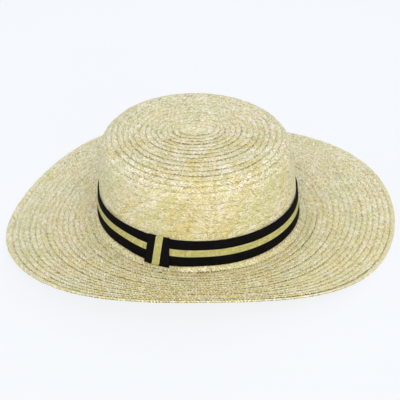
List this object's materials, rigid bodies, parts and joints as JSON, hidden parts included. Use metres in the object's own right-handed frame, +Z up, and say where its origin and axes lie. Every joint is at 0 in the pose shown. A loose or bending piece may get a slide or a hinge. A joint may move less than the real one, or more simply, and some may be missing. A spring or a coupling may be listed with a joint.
{
  "type": "capeline straw hat",
  "caption": "Wide-brimmed hat of sewn straw braid with a low rounded crown, a softly waving brim, a striped ribbon and a ribbon keeper.",
  "frame": {"origin": "middle of the footprint, on the surface that the low points of the brim rest on", "axes": "+Z up; +X along the hat's longest width; the ribbon keeper is on the -Y side, a little towards -X; crown up"},
  "size_m": [0.3722, 0.359, 0.1021],
  "materials": {
    "straw": "plaited wheat straw braid, sewn in rows, slight sheen",
    "ribbon": "matte black grosgrain with a woven straw-coloured middle stripe"
  },
  "bodies": {
    "root": {"straw_body": "straw", "ribbon_band": "ribbon", "ribbon_keeper": "ribbon"}
  },
  "joints": []
}
